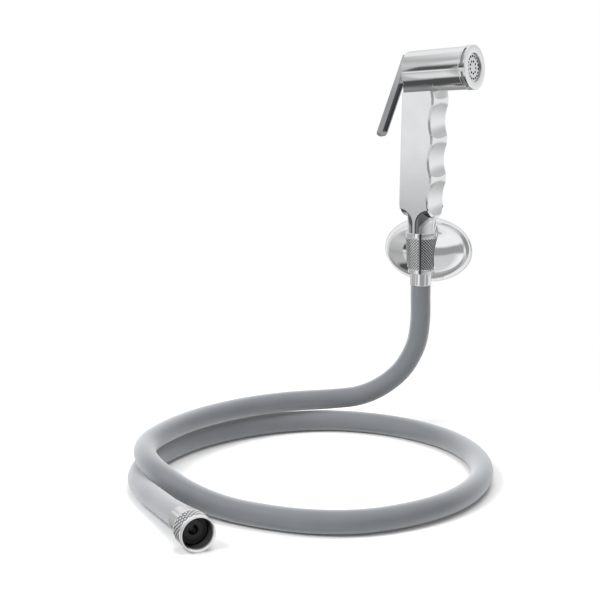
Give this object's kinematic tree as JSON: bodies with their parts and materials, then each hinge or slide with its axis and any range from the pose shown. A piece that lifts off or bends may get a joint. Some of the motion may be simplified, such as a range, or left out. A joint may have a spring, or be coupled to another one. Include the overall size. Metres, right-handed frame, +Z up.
{
  "type": "handheld bidet shower",
  "caption": "Chrome trigger spray handset with a scalloped square handle and knurled cone nut, hung in an oval wall holder, with a looped grey hose.",
  "frame": {"origin": "middle of the wall face of the holder's oval plate", "axes": "+Y into the wall, +Z up, +X to the right seen from the room; the room is on the -Y side"},
  "size_m": [0.2377, 0.3324, 0.2888],
  "materials": {
    "chrome": "polished",
    "steel": "satin",
    "brass": "machined",
    "white_plastic": "moulded",
    "rubber": "matt",
    "hose": "smooth, soft sheen"
  },
  "bodies": {
    "main_body": {"holder_base": "chrome", "holder_hook": "chrome", "holder_grub_screw": "steel", "handset_body": "chrome", "lever_pin": "steel", "hinge_carrier": "brass", "carrier_gasket": "rubber", "stem_o_ring": "rubber", "stem_gland": "brass", "valve_seat": "brass", "spring_cage": "white_plastic", "valve_spring": "steel", "spray_insert": "white_plastic", "cap_gasket": "rubber", "nozzle_plate": "steel", "spray_cap": "chrome", "cone_nut": "chrome", "cone_nut_washer": "rubber", "upper_hose_tail": "brass", "upper_ferrule": "chrome", "hose": "hose", "lower_ferrule": "chrome", "lower_hose_tail": "brass", "tap_nut_washer": "rubber"},
    "lever_body": {"lever": "chrome"},
    "stem_body": {"valve_stem": "brass", "valve_disc": "rubber"},
    "tap_nut_body": {"tap_nut": "chrome"}
  },
  "joints": [
    {"name": "lever_squeeze", "type": "hinge", "parent": "main_body", "child": "lever_body", "pos_m": [-0.00787, -0.01918, 0.14102], "axis": [-0.225, -0.9744, 0], "range_deg": [0, 16], "stiffness_Nm_per_rad": 0.6, "springref_deg": -11.46},
    {"name": "stem_slide", "type": "slide", "parent": "main_body", "child": "stem_body", "axis": [0.9707, -0.2241, 0.0872], "range_m": [0, 0.00232], "deforming": ["valve_spring"]},
    {"name": "tap_nut_spin", "type": "hinge", "parent": "main_body", "child": "tap_nut_body", "pos_m": [-0.056, -0.313, -0.1234], "axis": [0.7071, -0.7071, 0], "continuous": true}
  ],
  "couplings": [
    {"joint": "stem_slide", "follows": "lever_squeeze", "m_per_rad": 0.0083}
  ]
}
